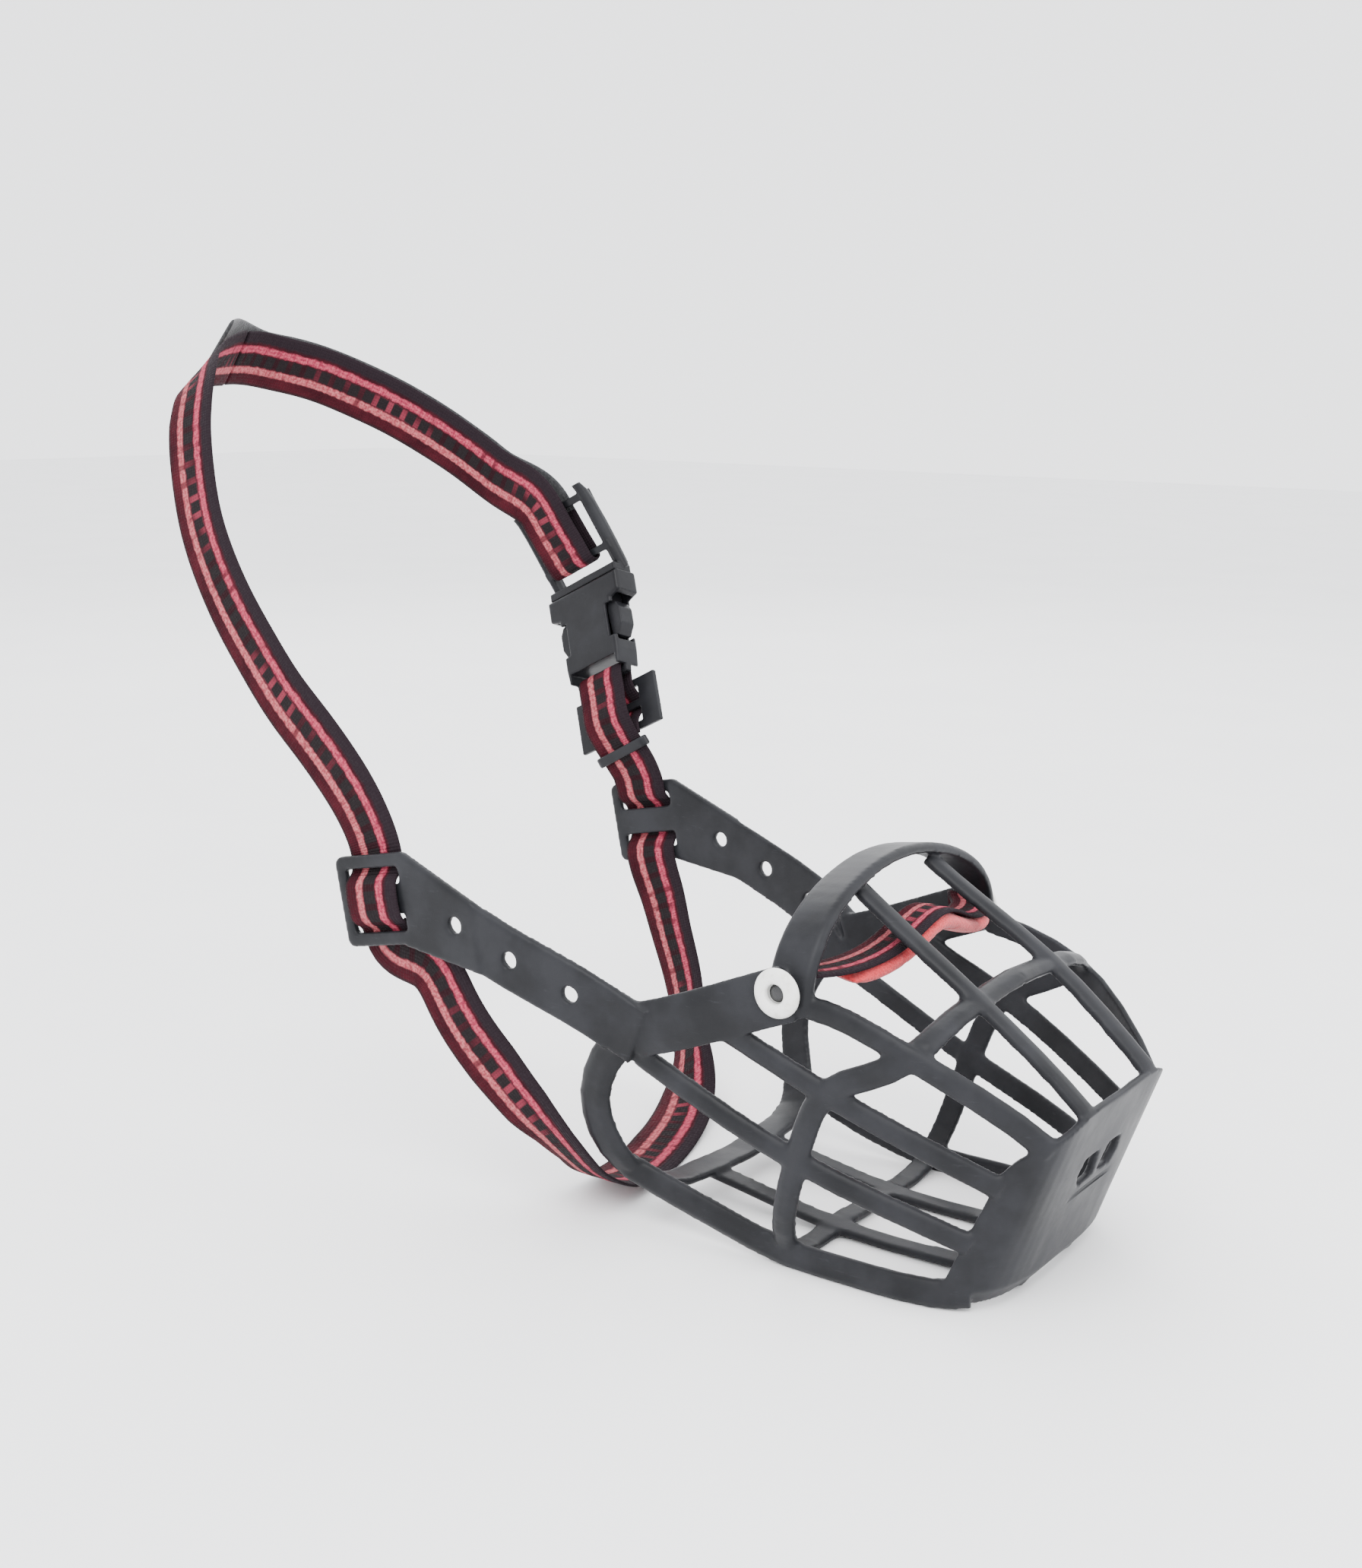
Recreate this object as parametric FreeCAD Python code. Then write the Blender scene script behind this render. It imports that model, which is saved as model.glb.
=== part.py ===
"""Basket muzzle: a moulded cage with two cheek arms, a padded nose strap on rivets, and a webbing
neck loop with a side-release buckle. Millimetres. X points to the nose, Y to the wearer's left, Z up.
The origin is on the underside of the chin bar, where the cage rests."""
import FreeCAD, Part
import math
import os
from FreeCAD import Vector

# driving dimensions
BAND = 3.0                 # thickness of the cage's bands and ribs
RIB = 6.5                  # width of a long rib
HOOP = 7.0                 # width of the middle hoop
WALL = 2.4                 # thickness of the solid nose wall
ARM_WIDTH = 18.0
ARM_THICK = 2.6
ARM_HOLE_R = 2.4
ARM_HOLE_PITCH = 20.0
SLOT_LENGTH = 20.8         # strap slots, across the webbing
SLOT_HEIGHT = 5.0
SLOT_PITCH = 13.6          # from one slot's centre to the other's
WEB_WIDTH = 20.0
WEB_THICK = 1.3
GAP = 0.3                  # clearance between webbing and moulded parts
RIVET_R = 2.0
RIVET_HEAD_R = 4.0
RIVET_TIP_R = 3.0
CAP_R = 6.6
CAP_THICK = 2.2
CAP_SEAT = 55.2            # Y of the flat seat under a cap
PAD_THICK = 2.6
NOSE_STRAP_WIDTH = 12.0

# key places on the left side, Y positive
CHEEK_ROOT = (-40, 56, 62)
RIVET = (4.6, 51.3, 81)
ARM_END = (-124, 66, 86.5)
ARM_TILT = 12              # degrees that the slotted arm end leans back


def vec(p):
    return Vector(*p)


def mirrored(shape):
    """The same shape on the other side of the muzzle."""
    return shape.mirror(Vector(0, 0, 0), Vector(0, 1, 0))


def mirror_route(route):
    """Control points on both sides of the middle plane, from the left side's, which end on it."""
    other = [((x, -y, z), (a, -b, c)) for (x, y, z), (a, b, c) in reversed(route[:-1])]
    return route + other


def stations(controls, per_span):
    """Points, tangents and guide vectors along a smooth curve through (point, guide) controls."""
    curve = Part.BSplineCurve()
    curve.interpolate([vec(p) for p, _ in controls])
    params = [curve.parameter(vec(p)) for p, _ in controls]
    found = []
    for i in range(len(controls) - 1):
        for k in range(per_span):
            s = k / per_span
            t = params[i] + s * (params[i + 1] - params[i])
            guide = vec(controls[i][1]) * (1 - s) + vec(controls[i + 1][1]) * s
            found.append((curve.value(t), curve.tangent(t)[0], guide))
    found.append((curve.value(params[-1]), curve.tangent(params[-1])[0], vec(controls[-1][1])))
    return found


def loft(sections):
    """A ruled solid through closed outlines that all have the same number of corners."""
    return Part.makeLoft([Part.makePolygon(s + s[:1]) for s in sections], True, True)


def band(controls, width, per_span=2, crown=0.45, thick=BAND):
    """A moulded band along a curve. Each guide points out of the cage; the outer face has a raised spine."""
    profile = [(-0.5, -0.5), (0.5, -0.5), (0.5, 0.1), (crown / 2, 0.5), (-crown / 2, 0.5), (-0.5, 0.1)]
    sections = []
    for place, along, out in stations(controls, per_span):
        out = (out - along * out.dot(along)).normalize()
        across = along.cross(out)
        sections.append([place + across * (u * width) + out * (v * thick) for u, v in profile])
    return loft(sections)


def webbing(controls, per_span=2, width=WEB_WIDTH, thick=WEB_THICK, lift=0.0):
    """A flat strap along a curve. Each guide lies along the strap's width."""
    sections = []
    for place, along, side in stations(controls, per_span):
        side = (side - along * side.dot(along)).normalize()
        face = along.cross(side)
        corners = [(-0.5, -0.5), (0.5, -0.5), (0.5, 0.5), (-0.5, 0.5)]
        sections.append([place + side * (u * width) + face * (v * thick + lift) for u, v in corners])
    return loft(sections)


def tilted(degrees, turn=0):
    """A unit vector raised this far above +X, then turned this far towards -Y."""
    level = math.cos(math.radians(degrees))
    turn = math.radians(turn)
    return (level * math.cos(turn), -level * math.sin(turn), math.sin(math.radians(degrees)))


def fused(shapes):
    """One solid from overlapping ones, with its coplanar faces joined."""
    solid = shapes[0].multiFuse(shapes[1:])
    return solid.removeSplitter()


def plate_from(outline, thick):
    """A flat plate: outline in XZ, thickness along Y and centred on Y 0."""
    face = Part.Face(Part.makePolygon([Vector(x, -thick / 2, z) for x, z in outline + outline[:1]]))
    return face.extrude(Vector(0, thick, 0))


# the cage
OUT, DOWN, UP = (0, 1, 0), (0, 0, -1), (0, 0, 1)


def rear_rim():
    half = [((-41, 55.5, 62), OUT), ((-51, 55, 51), OUT), ((-55.5, 53.5, 39), OUT), ((-54.5, 51, 28), OUT),
            ((-50, 46, 17.5), (0, 0.9, -0.45)), ((-45.5, 37, 11), (0, 0.4, -0.9)),
            ((-43, 19, 8.7), DOWN), ((-42, 0, 8.2), DOWN)]
    return band(mirror_route(half), 10)


def middle_hoop():
    half = [((44, 0, 79.5), (0.15, 0, 1)), ((44, 23, 78), (0.15, 0.15, 1)), ((43, 41, 74.5), (0.1, 0.6, 0.8)),
            ((40, 50, 69.5), OUT), ((29, 51.5, 62.5), OUT), ((17, 51.5, 55.5), OUT), ((11, 51, 44), OUT),
            ((7.5, 50, 33), OUT), ((3.5, 48, 18), OUT), ((1.2, 43, 7.5), (0, 0.7, -0.7)),
            ((0, 36, 2.3), (0, 0.1, -1)), ((0, 18, 1.2), DOWN), ((0, 0, 1.2), DOWN)]
    return band(half, HOOP)


def nose_hoop():
    half = [((6, 51.3, 75), OUT), ((6, 51.3, 83), OUT), ((6, 47.5, 91), (0, 0.8, 0.5)),
            ((5, 36, 99.5), (-0.1, 0.5, 0.85)), ((4, 19, 105), (-0.15, 0.1, 1)),
            ((3.5, 0, 107), (-0.15, 0, 1))]
    return band(mirror_route(half), 13, per_span=4, crown=0.8)


def side_bands():
    """The bands and ribs on the left side."""
    cheek = band([(CHEEK_ROOT, OUT), ((-20, 56, 69.5), OUT), ((-6, 55, 75.5), OUT), ((7, 54.2, 81), OUT)], 15)
    rail = band([((-50, 45.5, 17.5), OUT), ((-34, 43, 11.7), OUT), ((-19, 42, 7.6), OUT), ((0, 42, 4), OUT),
                 ((24, 42, 3.8), OUT), ((44, 40, 4), OUT), ((53, 36.5, 5), (0.4, 0.9, 0))], 8)
    top = band([((7, 20, 102.5), UP), ((24, 21, 91.5), UP), ((44, 22, 79), UP), ((61, 21, 66.5), UP),
                ((75, 20, 54.5), UP)], RIB + 0.5)
    brow = band([((11, 51.2, 77.3), OUT), ((23, 51, 75.5), OUT), ((40, 50, 69.5), OUT), ((56, 43.5, 60.5), (0.2, 0.9, 0.2)),
                 ((71.5, 33, 47), (0.4, 0.8, 0.2))], RIB)
    upper = band([((-16, 54.5, 69), OUT), ((-2, 53, 63), OUT), ((17, 51.5, 55.5), OUT), ((38, 46.5, 46.5), OUT),
                  ((61, 38, 36), OUT)], RIB)
    lower = band([((-40, 54.5, 55), OUT), ((-12, 52.5, 42.5), OUT), ((8, 50, 34.5), OUT), ((32, 46, 27), OUT),
                  ((54, 39.3, 19.5), OUT)], RIB)
    floor = band([((-43, 15, 8), DOWN), ((-20, 15, 4.5), DOWN), ((2, 15, 1.7), DOWN), ((34, 15, 1.7), DOWN),
                  ((58, 14, 2), DOWN)], RIB)
    return [cheek, rail, top, brow, upper, lower, floor]


def nose_wall():
    """The solid front wall, wrapped round both front corners and turned under at its foot."""
    half = [((46, 40.3, 6), (60.5, 38.5, 40), (0, 1)), ((53, 37.8, 6), (67, 37, 46), (0.45, 0.9)),
            ((58, 32.2, 6), (74.7, 32, 51), (0.85, 0.5)), ((61.3, 21, 6), (77, 21.5, 54.3), (1, 0.1)),
            ((62, 0, 6), (77.3, 0, 54.6), (1, 0))]
    rows = half + [((ax, -ay, az), (bx, -by, bz), (ox, -oy)) for (ax, ay, az), (bx, by, bz), (ox, oy) in half[-2::-1]]
    lows = stations([(low, (*out, 0)) for low, _, out in rows], 3)
    tops = stations([(top, (*out, 0)) for _, top, out in rows], 3)
    wires = []
    for (low, _, out), (top, _, _) in zip(lows, tops):
        inward = out.normalize() * -WALL
        down = (low - top).normalize()
        foot = low + inward * 1.3 + down * 5.9
        wires.append([foot, low, top, top + inward, low + inward, foot + inward * 1.3 - down * 2.5])
    wall = loft(wires)
    for side in (-1, 1):
        outline = [(1.4, 30.5), (10, 30), (12.4, 33.5), (11, 37.8), (3, 38.2)]
        nostril = Part.makePolygon([Vector(50, side * y, z) for y, z in outline + outline[:1]])
        wall = wall.cut(Part.Face(nostril).extrude(Vector(50, 0, 0)))
    return wall


def basket():
    left = side_bands()
    hoop = middle_hoop()
    cage = fused([rear_rim(), hoop, mirrored(hoop), nose_hoop(), nose_wall()] + left + [mirrored(s) for s in left])
    cage = cage.cut(Part.makeBox(400, 200, 20, Vector(-200, -100, -20)))
    for side in (-1, 1):
        out = Vector(0, side, 0)
        cage = cage.cut(Part.makeCylinder(RIVET_R, 20, Vector(RIVET[0], side * 45, RIVET[2]), out))
        cage = cage.cut(Part.makeCylinder(CAP_R + 0.3, 5, Vector(RIVET[0], side * CAP_SEAT, RIVET[2]), out))
    return cage


def turned(outline):
    """A solid of revolution on the left rivet's axis, from (radius, Y) points."""
    points = [Vector(RIVET[0] + r, y, RIVET[2]) for r, y in outline]
    face = Part.Face(Part.makePolygon(points + points[:1]))
    return face.revolve(Vector(RIVET[0], 0, RIVET[2]), Vector(0, 1, 0), 360)


def rivet():
    head = NOSE_STRAP_Y - WEB_THICK / 2 - 0.05
    tip = CAP_SEAT + CAP_THICK
    return turned([(0, head - 1), (RIVET_HEAD_R, head - 1), (RIVET_HEAD_R, head), (RIVET_R, head),
                   (RIVET_R, tip - 1.4), (RIVET_TIP_R, tip - 1.4), (RIVET_TIP_R, tip - 0.3), (0, tip - 0.3)])


def rivet_cap():
    """A round cap with the rivet's tip showing in its middle."""
    top = CAP_SEAT + CAP_THICK
    return turned([(RIVET_R, CAP_SEAT), (CAP_R, CAP_SEAT), (CAP_R, top - 1.1), (CAP_R - 1.1, top),
                   (RIVET_TIP_R, top), (RIVET_TIP_R, top - 1.4), (RIVET_R, top - 1.4)])


# the cheek arms
def on_arm_end(shape):
    """Moves a shape from the arm end's own plane to its place."""
    shape.rotate(Vector(0, 0, 0), Vector(0, 1, 0), -ARM_TILT)
    shape.translate(vec(ARM_END))
    return shape


def left_arm():
    """A blade with adjusting holes, and at its end two slots across the webbing with a bar between them."""
    first_hole = Vector(-57, 62, 70.4)
    way = (Vector(-95, 66, 84.4) - first_hole).normalize()
    blade = band([((-43.6, 57.9, 63), OUT), (tuple(first_hole), OUT), ((-76, 65, 77.4), OUT), ((-95, 66, 84.4), OUT),
                  ((-112, 66, 90), OUT)], ARM_WIDTH, crown=0.9, thick=ARM_THICK)
    u = SLOT_LENGTH / 2 + 3.5
    w = (SLOT_PITCH + SLOT_HEIGHT) / 2 + 4
    end = plate_from([(-u, -w), (u, -w), (u, w), (-u, w)], ARM_THICK)
    end = end.makeFillet(2.5, [e for e in end.Edges if abs(e.tangentAt(e.FirstParameter).y) > 0.99])
    gusset = plate_from([(-114.5, 102.1), (-88, 91.5), (-85, 71.6), (-112.5, 74.9)], ARM_THICK)
    gusset.translate(Vector(0, ARM_END[1], 0))
    arm = fused([blade, gusset, on_arm_end(end)])
    for k in range(3):
        place = first_hole + way * (ARM_HOLE_PITCH * k)
        arm = arm.cut(Part.makeCylinder(ARM_HOLE_R, 30, Vector(place.x, 50, place.z), Vector(0, 1, 0)))
    for z in (-SLOT_PITCH / 2, SLOT_PITCH / 2):
        corner = Vector(-SLOT_LENGTH / 2, -ARM_THICK, z - SLOT_HEIGHT / 2)
        arm = arm.cut(on_arm_end(Part.makeBox(SLOT_LENGTH, 2 * ARM_THICK, SLOT_HEIGHT, corner)))
    return arm


# the webbing
def strap_side(points):
    """Control points with their width directions, from (x, y, z, width's tilt and, if any, turn)."""
    return [((x, y, z), tilted(*angles)) for x, y, z, *angles in points]


IN_Y = ARM_END[1] - ARM_THICK / 2 - GAP - WEB_THICK / 2
OUT_Y = ARM_END[1] + ARM_THICK / 2 + GAP + WEB_THICK / 2
NOSE_STRAP_Y = RIVET[1] - BAND / 2 - WEB_THICK / 2 - 0.2
NECK_RIGHT = [(-130.6, -63.8, 108.4, 18), (-136.1, -64, 116.5, 26), (-143.7, -64, 124.5, 34), (-152.6, -63.8, 132.3, 42),
              (-162.2, -63.3, 140.2, 45), (-178.4, -62, 156.6, 43), (-192.5, -60, 173.4, 40), (-203, -57.5, 191, 32),
              (-209.4, -54.5, 208.6, 22), (-213, -51, 220, 18), (-217.4, -45, 229, 24), (-223, -38, 233, 34),
              (-229.5, -27, 236.2, 46), (-236.5, -14, 237.7, 56), (-242.5, -5.4, 238, 58)]
NECK_LEFT = [(-243.5, -3.4, 238, 58), (-246.3, 6, 238, 60), (-246, 19, 236, 60), (-241.2, 32, 232.7, 60),
             (-233.4, 42, 227.7, 60), (-224.1, 51, 221.6, 59), (-213, 58.5, 214, 57), (-200.8, 64, 205.4, 50),
             (-189.5, 66.8, 198, 41)]
BUCKLE_STRAP = [(-127, 62.6, 102, 14), (-131.5, 60.8, 110, 18)]
THROAT_RIGHT = [(-110.2, -62.9, 71.3, 30), (-99.2, -62.5, 59.7, 38), (-86.6, -60, 43.5, 40), (-76.5, -57, 32, 37, 8),
                (-70, -53, 23.5, 28, 20), (-66, -45.5, 13.5, 14, 22)]
THROAT_MIDDLE = [(-66, -31, 4.6, 5, 12), (-69.5, -12, 1.3, 0), (-75, 8, 1.3, 0), (-80.5, 24, 2.8, 4)]
THROAT_LEFT = [(-88, 40, 8, 10, 12), (-94.5, 50, 16, 18, 22), (-99.5, 55.5, 25.5, 22, 20), (-104.3, 59, 35.5, 24, 15),
               (-111.5, 61.5, 51.5, 22, 10), (-116.3, 62.8, 63, 18, 5)]


def arm_frame(y, height, side):
    """A point at this height on the arm end's own axis, on the right (-1) or left (1)."""
    lean = math.radians(ARM_TILT)
    return (ARM_END[0] - height * math.sin(lean), side * y, ARM_END[2] + height * math.cos(lean))


def slot_strap():
    """The webbing inside the left arm's slots: in through the upper, over the bar, out through the lower."""
    slot = SLOT_PITCH / 2
    face = ARM_END[1] - ARM_THICK / 2
    rows = [(face - 1, slot + 2.3), (face, slot + 1.3), (face + ARM_THICK, slot - 1.3), (OUT_Y - 0.25, slot - 2.4),
            (OUT_Y, slot - 3.8), (OUT_Y + 0.2, 0)]
    rows += [(y, -h) for y, h in reversed(rows[:-1])]
    strap = webbing([(arm_frame(y, h, 1), tilted(ARM_TILT)) for y, h in rows])
    beyond = Part.makeBox(80, 20, 80, Vector(ARM_END[0] - 40, face - 20, ARM_END[2] - 40))
    return strap.cut(beyond)


def strap_foot(side, up):
    """The end of a swinging strap, level with the upper (1) or lower (-1) slot on the arm's inner face."""
    y = IN_Y - GAP
    return [(arm_frame(y, up * h, side), tilted(ARM_TILT)) for h in (SLOT_PITCH / 2, SLOT_PITCH / 2 + 4)]


def throat_strap():
    middle = strap_side(THROAT_RIGHT + THROAT_MIDDLE + THROAT_LEFT)
    return webbing(strap_foot(-1, -1) + middle + strap_foot(1, -1)[::-1])


def neck_strap_right():
    return webbing(strap_foot(-1, 1) + strap_side(NECK_RIGHT))


def nose_path():
    """Middle of the strap inside the nose hoop, from the left rivet to the right one, and its width direction."""
    half = [((RIVET[0], NOSE_STRAP_Y, RIVET[2] - 5), (1, 0, 0)), ((RIVET[0], NOSE_STRAP_Y, RIVET[2]), (1, 0, 0)),
            ((5, 47.9, 84), (1, 0, 0)), ((8, 44.4, 85), (1, 0, 0)), ((12, 37, 85.2), (1, 0, 0)),
            ((15, 27, 86.3), (1, 0, 0)), ((16.5, 17, 88.6), (1, 0, 0)), ((17.3, 8, 91.9), (1, 0, 0)),
            ((17.5, 0, 93.4), (1, 0, 0))]
    return half + [((x, -y, z), side) for (x, y, z), side in reversed(half[:-1])]


def nose_strap(pin):
    """The webbing between the rivets, with a hole for each and room for its head."""
    strap = webbing(nose_path(), per_span=3, width=NOSE_STRAP_WIDTH)
    return strap.cut(pin).cut(mirrored(pin))


def nose_pad():
    """The soft lining under the middle of the nose strap."""
    under = (WEB_THICK + PAD_THICK) / 2 + 0.05
    return webbing(nose_path()[4:-4], per_span=3, width=NOSE_STRAP_WIDTH, thick=PAD_THICK, lift=NOSE_PAD_SIDE * under)


NOSE_PAD_SIDE = -1


# the buckle, in its own frame: u across, v through the thickness, w along towards the plug
BUCKLE_FOOT = Vector(-142, 64.5, 132)
BUCKLE_ALONG = Vector(-0.42, 0.31, 0.853).normalize()
BUCKLE_ACROSS = Vector(0.907, -0.03, 0.42)
BUCKLE_ACROSS = (BUCKLE_ACROSS - BUCKLE_ALONG * BUCKLE_ACROSS.dot(BUCKLE_ALONG)).normalize()
BUCKLE_THROUGH = BUCKLE_ALONG.cross(BUCKLE_ACROSS)
SOCKET_HALF = 5.2          # half the buckle's thickness
SHELL = 1.4
WAIST = 12.4
COLLAR = 16.6
SOCKET_END = 35.0
WINDOW = (11.0, 26.0)
PRONG_OUT = 14.2
LADDER_BEND = 30           # degrees that the plug's ladder leans in towards the neck
LADDER_BASE = SOCKET_END + 3
LADDER_BAR = 8.0
LADDER_END = 28.0
LADDER_SHIFT = 2.1         # how far off the ladder's middle the webbing lies at the bar
LADDER_SLANT = 0.045       # its further sideways drift per millimetre along the ladder
RAIL = 15.5
RAIL_THICK = 2.4
RAIL_DEPTH = (-0.8, 4.2)    # the rails stand out past the bars on the outer side only
BAR_HALF = 1.2             # half the thickness of a bar that webbing turns round
TURN = BAR_HALF + 2 * GAP + WEB_THICK / 2
SLIDER_V = 4.5             # the slider's middle, outside the buckle strap
SLIDER_HALF = 0.8
SLIDER_TOP = -1.5
SLIDER_REACH = 18.5        # half the slider's width
SLIDER_BAR = 2.6
SLIDER_SLOT = 5.0


def buckle_point(u, v, w):
    return BUCKLE_FOOT + BUCKLE_ACROSS * u + BUCKLE_THROUGH * v + BUCKLE_ALONG * w


def frame_matrix(across, through, along, origin):
    return FreeCAD.Matrix(across.x, through.x, along.x, origin.x, across.y, through.y, along.y, origin.y,
                          across.z, through.z, along.z, origin.z, 0, 0, 0, 1)


def in_buckle(shape):
    """Moves a shape from the buckle's own frame to its place on the neck loop."""
    return shape.transformed(frame_matrix(BUCKLE_ACROSS, BUCKLE_THROUGH, BUCKLE_ALONG, BUCKLE_FOOT))


def ladder_point(u, v, w):
    """A point in the plug's leaning ladder frame, as a place in the buckle's frame."""
    lean = math.radians(LADDER_BEND)
    return (u, v * math.cos(lean) - w * math.sin(lean), LADDER_BASE + v * math.sin(lean) + w * math.cos(lean))


def in_ladder(shape):
    shape = shape.copy()
    shape.rotate(Vector(0, 0, 0), Vector(1, 0, 0), LADDER_BEND)
    shape.translate(Vector(0, 0, LADDER_BASE))
    return shape


def block(u, v, w):
    """A box in the buckle's frame from three (low, high) pairs."""
    return Part.makeBox(u[1] - u[0], v[1] - v[0], w[1] - w[0], Vector(u[0], v[0], w[0]))


def sided(low, high, side):
    return tuple(sorted((side * low, side * high)))


def buckle_socket():
    half = [(11.6, 0), (WAIST, 8), (WAIST, WINDOW[1]), (COLLAR, WINDOW[1] + 1.5), (COLLAR, SOCKET_END)]
    shell = plate_from(half + [(-u, w) for u, w in reversed(half)], 2 * SOCKET_HALF)
    shell = shell.makeFillet(1.2, [e for e in shell.Edges if abs(e.tangentAt(e.FirstParameter).y) < 0.01])
    inner = SOCKET_HALF - SHELL
    cuts = [block((-11, 11), (-inner, inner), (8, SOCKET_END + 1)),
            block((-PRONG_OUT - 0.3, PRONG_OUT + 0.3), (-inner, inner), (WINDOW[1] - 1, SOCKET_END + 1)),
            block((-10.6, 10.6), (-6, 6), (2.4, 6))]
    for side in (-1, 1):
        cuts.append(block(sided(9.4, 20, side), (-6, 6), (WINDOW[0] + 1.5, WINDOW[1] - 1.5)))
        cuts.append(block(sided(9.4, 20, side), (-inner, inner), WINDOW))
    for v in ((-6, -BAR_HALF), (BAR_HALF, 6)):
        cuts.append(block((-20, 20), v, (-1, 2.5)))
    for cut in cuts:
        shell = shell.cut(cut)
    return in_buckle(shell)


def buckle_plug():
    """The base, the centre guide and the leaning ladder frame that the webbing turns round."""
    base = SOCKET_END + GAP
    ladder = [block((-RAIL, RAIL), (-BAR_HALF, BAR_HALF), (LADDER_BAR - BAR_HALF, LADDER_BAR + BAR_HALF)),
              block((-RAIL, RAIL), (-BAR_HALF, BAR_HALF), (LADDER_END - 2.6, LADDER_END))]
    for side in (-1, 1):
        ladder.append(block(sided(RAIL - RAIL_THICK, RAIL, side), RAIL_DEPTH, (-0.5, LADDER_END)))
    pieces = [block((-COLLAR + 1, COLLAR - 1), (-4.2, 4.2), (base, base + 2.8)),
              block((-2, 2), (-1.4, 1.4), (16, base + 1))]
    return in_buckle(fused(pieces + [in_ladder(s) for s in ladder]))


def prong(side):
    """A spring arm with its thumb head, which stands out in the socket's side window."""
    top = SOCKET_END - 0.1
    outline = [(8.4, top), (10.2, top), (10.6, 25), (12.8, 24.6), (PRONG_OUT, 22), (PRONG_OUT, 16.5),
               (12, 12.6), (9.6, 12.6), (8.8, 20)]
    return in_buckle(plate_from([(side * u, w) for u, w in outline], 6.4))


def buckle_rows(rows):
    """Webbing control points from (u, v, w) rows in the buckle's frame."""
    return [(tuple(buckle_point(u, v, w)), tuple(BUCKLE_ACROSS)) for u, v, w in rows]


def skew(w):
    """How far across the ladder the webbing's middle lies, as it leaves at a slant."""
    return -LADDER_SHIFT - LADDER_SLANT * (w - LADDER_BAR)


def half_turn(v, w, up):
    """Points round a bar, from its inner face to its outer one, in (v, w)."""
    angles = [math.pi * k / 6 for k in range(7)]
    return [(v - TURN * math.cos(a), w + up * TURN * math.sin(a)) for a in angles]


def buckle_strap():
    """From the left arm over the socket's bar, down the outside and through the slider."""
    start = strap_foot(1, 1) + strap_side(BUCKLE_STRAP)
    over = SLIDER_V + SLIDER_HALF + GAP + WEB_THICK / 2
    slot = SLIDER_BAR + SLIDER_SLOT
    first = SLIDER_TOP - SLIDER_BAR - SLIDER_SLOT / 2
    weave = [(TURN, first + 3), (TURN + 0.6, first + 1.65), (over - 0.6, first - 1.65), (over, first - slot / 2),
             (over - 0.6, first - slot + 1.7), (TURN + 0.6, first - slot - 1.7), (TURN, first - slot - 3),
             (TURN, first - slot - 7)]
    rows = [(-TURN, -13), (-TURN, -6)] + half_turn(0, 1.2, 1) + weave
    return webbing(start + buckle_rows([(0, v, w) for v, w in rows]))


def neck_strap_left():
    """From the apex to the plug's ladder bar and round it."""
    rows = [(-TURN, LADDER_END + 3), (-TURN, LADDER_END - 4), (-TURN, LADDER_BAR + 4)]
    rows += half_turn(0, LADDER_BAR, -1) + [(TURN, LADDER_BAR + 4), (TURN, LADDER_END - 3.5)]
    return webbing(strap_side(NECK_LEFT) + buckle_rows([ladder_point(skew(w), v, w) for v, w in rows]))


def strap_tail():
    """The free end, lying along the outside of the neck strap from the ladder back to the apex."""
    ends = (LADDER_END - 0.8, LADDER_END + 3)
    first = buckle_rows([ladder_point(skew(w), TURN, w) for w in ends])
    path = []
    for place, along, side in stations(strap_side(NECK_LEFT), 1)[1:]:
        side = (side - along * side.dot(along)).normalize()
        path.append((tuple(place - along.cross(side) * (TAIL_SIDE * TAIL_LIFT)), tuple(side)))
    return webbing(first + path[::-1])


TAIL_LIFT = WEB_THICK + 0.5
TAIL_SIDE = 1


def strap_slider():
    """The flat three-bar adjuster that the buckle strap's end weaves through."""
    length = 3 * SLIDER_BAR + 2 * SLIDER_SLOT
    v = (SLIDER_V - SLIDER_HALF, SLIDER_V + SLIDER_HALF)
    frame = block((-SLIDER_REACH, SLIDER_REACH), v, (SLIDER_TOP - length, SLIDER_TOP))
    for k in range(2):
        top = SLIDER_TOP - SLIDER_BAR - k * (SLIDER_BAR + SLIDER_SLOT)
        frame = frame.cut(block((-10.6, 10.6), (0, 10), (top - SLIDER_SLOT, top)))
    return in_buckle(frame)


def main():
    os.makedirs("parts", exist_ok=True)
    cage = basket()
    arm = left_arm().cut(cage)
    wrap = slot_strap()
    cap = rivet_cap()
    pin = rivet()
    shapes = {"basket": cage, "cheek_arm_left": arm, "cheek_arm_right": mirrored(arm),
              "slot_strap_left": wrap, "slot_strap_right": mirrored(wrap), "rivet_left": pin,
              "rivet_right": mirrored(pin), "rivet_cap_left": cap, "rivet_cap_right": mirrored(cap),
              "nose_strap": nose_strap(pin), "nose_pad": nose_pad(), "throat_strap": throat_strap(),
              "neck_strap_right": neck_strap_right(), "neck_strap_left": neck_strap_left(),
              "strap_tail": strap_tail(), "buckle_strap": buckle_strap(), "buckle_socket": buckle_socket(),
              "buckle_plug": buckle_plug(), "buckle_prong_front": prong(1), "buckle_prong_back": prong(-1),
              "strap_slider": strap_slider()}
    for name, shape in shapes.items():
        print(name, shape.ShapeType, len(shape.Solids), "solids", shape.isValid(), round(shape.Volume), "mm3")
        shape.exportStep(f"parts/{name}.step")


main()
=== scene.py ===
"""The looks of the basket muzzle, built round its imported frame. Metres; X to the nose, Y to the wearer's left.

The moulded parts are the frame's own solids, joined and softened; the webbing follows the frame's strap routes."""

import math
import bmesh
import bpy
import numpy as np
from mathutils import Matrix, Vector


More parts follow.
